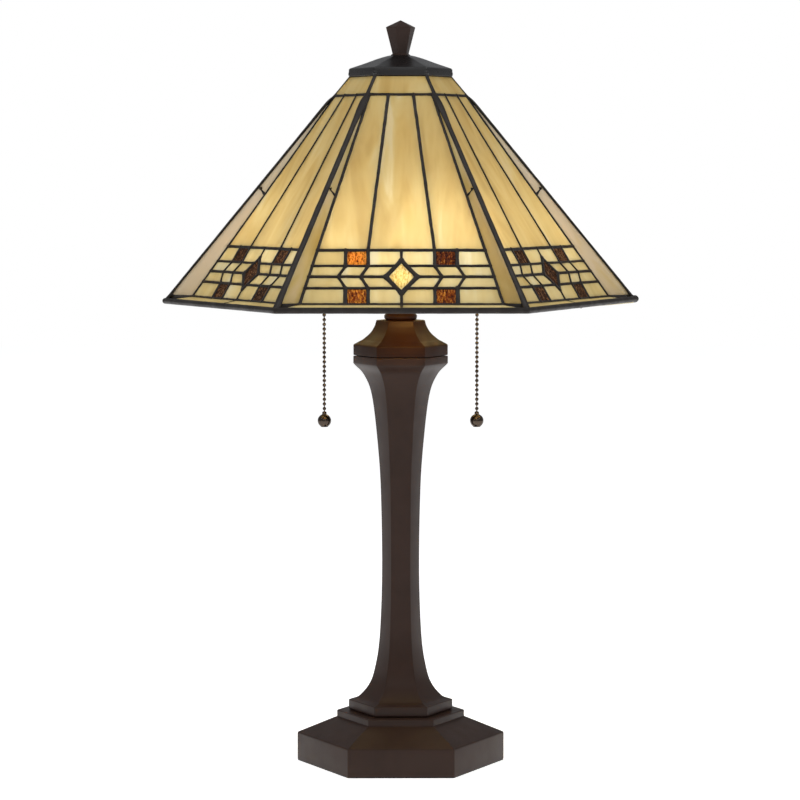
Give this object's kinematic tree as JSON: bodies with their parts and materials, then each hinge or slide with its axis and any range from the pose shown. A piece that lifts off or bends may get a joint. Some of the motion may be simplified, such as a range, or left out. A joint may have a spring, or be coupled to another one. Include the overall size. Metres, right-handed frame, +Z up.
{
  "type": "stained glass table lamp",
  "caption": "Table lamp with a six-sided leaded glass shade on a waisted hexagonal cast column and stepped base, with bead pull chains.",
  "frame": {"origin": "middle of the base's underside, on the surface it stands on", "axes": "+Z up along the lamp's axis, +X towards one corner of the hexagons and the right socket, -Y towards the front face"},
  "size_m": [0.4164, 0.361, 0.6488],
  "materials": {
    "field_glass": "streaky opalescent honey glass",
    "border_glass": "opalescent cream glass",
    "amber_glass": "rippled amber glass",
    "gusset_glass": "opalescent olive and honey glass",
    "came": "dark patina over solder",
    "cap_metal": "dark patina, satin",
    "bronze_paint": "dark bronze, satin",
    "cast_iron": "raw",
    "felt": "felt",
    "bushing": "matt",
    "steel": "zinc plated",
    "brass": "plain",
    "phenolic": "matt",
    "bulb_glass": "frosted",
    "bulb_cap": "plain",
    "chain": "dark antique bronze"
  },
  "bodies": {
    "stand": {"base_casting": "bronze_paint", "base_weight": "cast_iron", "base_felt": "felt", "cord_grommet": "bushing", "tie_rod": "steel", "base_nut": "steel", "column_casting": "bronze_paint", "post_cap": "bronze_paint", "neck_ring": "bronze_paint", "cluster_body": "bronze_paint", "cluster_cover": "bronze_paint", "cluster_arms": "bronze_paint", "riser_rod": "steel", "shade_rest": "brass", "socket_caps": "bronze_paint", "socket_interiors": "phenolic", "screw_shells": "brass", "centre_contacts": "brass", "left_socket_shell": "bronze_paint", "right_socket_shell": "bronze_paint"},
    "shade": {"face_1_field_glass": "field_glass", "face_1_border_glass": "border_glass", "face_1_amber_glass": "amber_glass", "face_1_gusset_glass": "gusset_glass", "face_2_field_glass": "field_glass", "face_2_border_glass": "border_glass", "face_2_amber_glass": "amber_glass", "face_2_gusset_glass": "gusset_glass", "face_3_field_glass": "field_glass", "face_3_border_glass": "border_glass", "face_3_amber_glass": "amber_glass", "face_3_gusset_glass": "gusset_glass", "face_4_field_glass": "field_glass", "face_4_border_glass": "border_glass", "face_4_amber_glass": "amber_glass", "face_4_gusset_glass": "gusset_glass", "face_5_field_glass": "field_glass", "face_5_border_glass": "border_glass", "face_5_amber_glass": "amber_glass", "face_5_gusset_glass": "gusset_glass", "face_6_field_glass": "field_glass", "face_6_border_glass": "border_glass", "face_6_amber_glass": "amber_glass", "face_6_gusset_glass": "gusset_glass", "face_cames": "came", "ridge_cames": "came", "rim_came": "came", "shade_cap": "cap_metal", "cap_spider": "brass"},
    "finial": {"finial": "bronze_paint"},
    "left_bulb": {"left_bulb_glass": "bulb_glass", "left_bulb_base": "bulb_cap"},
    "left_pull": {"left_pull_lever": "chain"},
    "left_connector": {"left_chain_connector": "chain"},
    "left_chain": {"left_bead_chain": "chain"},
    "right_bulb": {"right_bulb_glass": "bulb_glass", "right_bulb_base": "bulb_cap"},
    "right_pull": {"right_pull_lever": "chain"},
    "right_connector": {"right_chain_connector": "chain"},
    "right_chain": {"right_bead_chain": "chain"}
  },
  "joints": [
    {"name": "shade_lift", "type": "slide", "parent": "stand", "child": "shade", "axis": [0, 0, 1], "range_m": [0, 0.24]},
    {"name": "finial_turn", "type": "hinge", "parent": "shade", "child": "finial", "pos_m": [0, 0, 0.6186], "axis": [0, 0, 1], "continuous": true},
    {"name": "left_bulb_turn", "type": "hinge", "parent": "stand", "child": "left_bulb", "pos_m": [-0.036, 0, 0.4456], "axis": [0, 0, 1], "continuous": true},
    {"name": "left_pull_slide", "type": "slide", "parent": "stand", "child": "left_pull", "axis": [0, 0, -1], "range_m": [0, 0.008], "stiffness_N_per_m": 400, "springref_m": -0.002},
    {"name": "left_connector_swing", "type": "hinge", "parent": "left_pull", "child": "left_connector", "pos_m": [-0.0667, 0, 0.4146], "axis": [1, 0, 0], "range_deg": [-30, 30]},
    {"name": "left_chain_swing", "type": "hinge", "parent": "left_connector", "child": "left_chain", "pos_m": [-0.0667, 0, 0.4076], "axis": [0, 1, 0], "range_deg": [-14, 30]},
    {"name": "right_bulb_turn", "type": "hinge", "parent": "stand", "child": "right_bulb", "pos_m": [0.036, 0, 0.4456], "axis": [0, 0, 1], "continuous": true},
    {"name": "right_pull_slide", "type": "slide", "parent": "stand", "child": "right_pull", "axis": [0, 0, -1], "range_m": [0, 0.008], "stiffness_N_per_m": 400, "springref_m": -0.002},
    {"name": "right_connector_swing", "type": "hinge", "parent": "right_pull", "child": "right_connector", "pos_m": [0.0667, 0, 0.4146], "axis": [1, 0, 0], "range_deg": [-30, 30]},
    {"name": "right_chain_swing", "type": "hinge", "parent": "right_connector", "child": "right_chain", "pos_m": [0.0667, 0, 0.4076], "axis": [0, -1, 0], "range_deg": [-14, 30]}
  ]
}
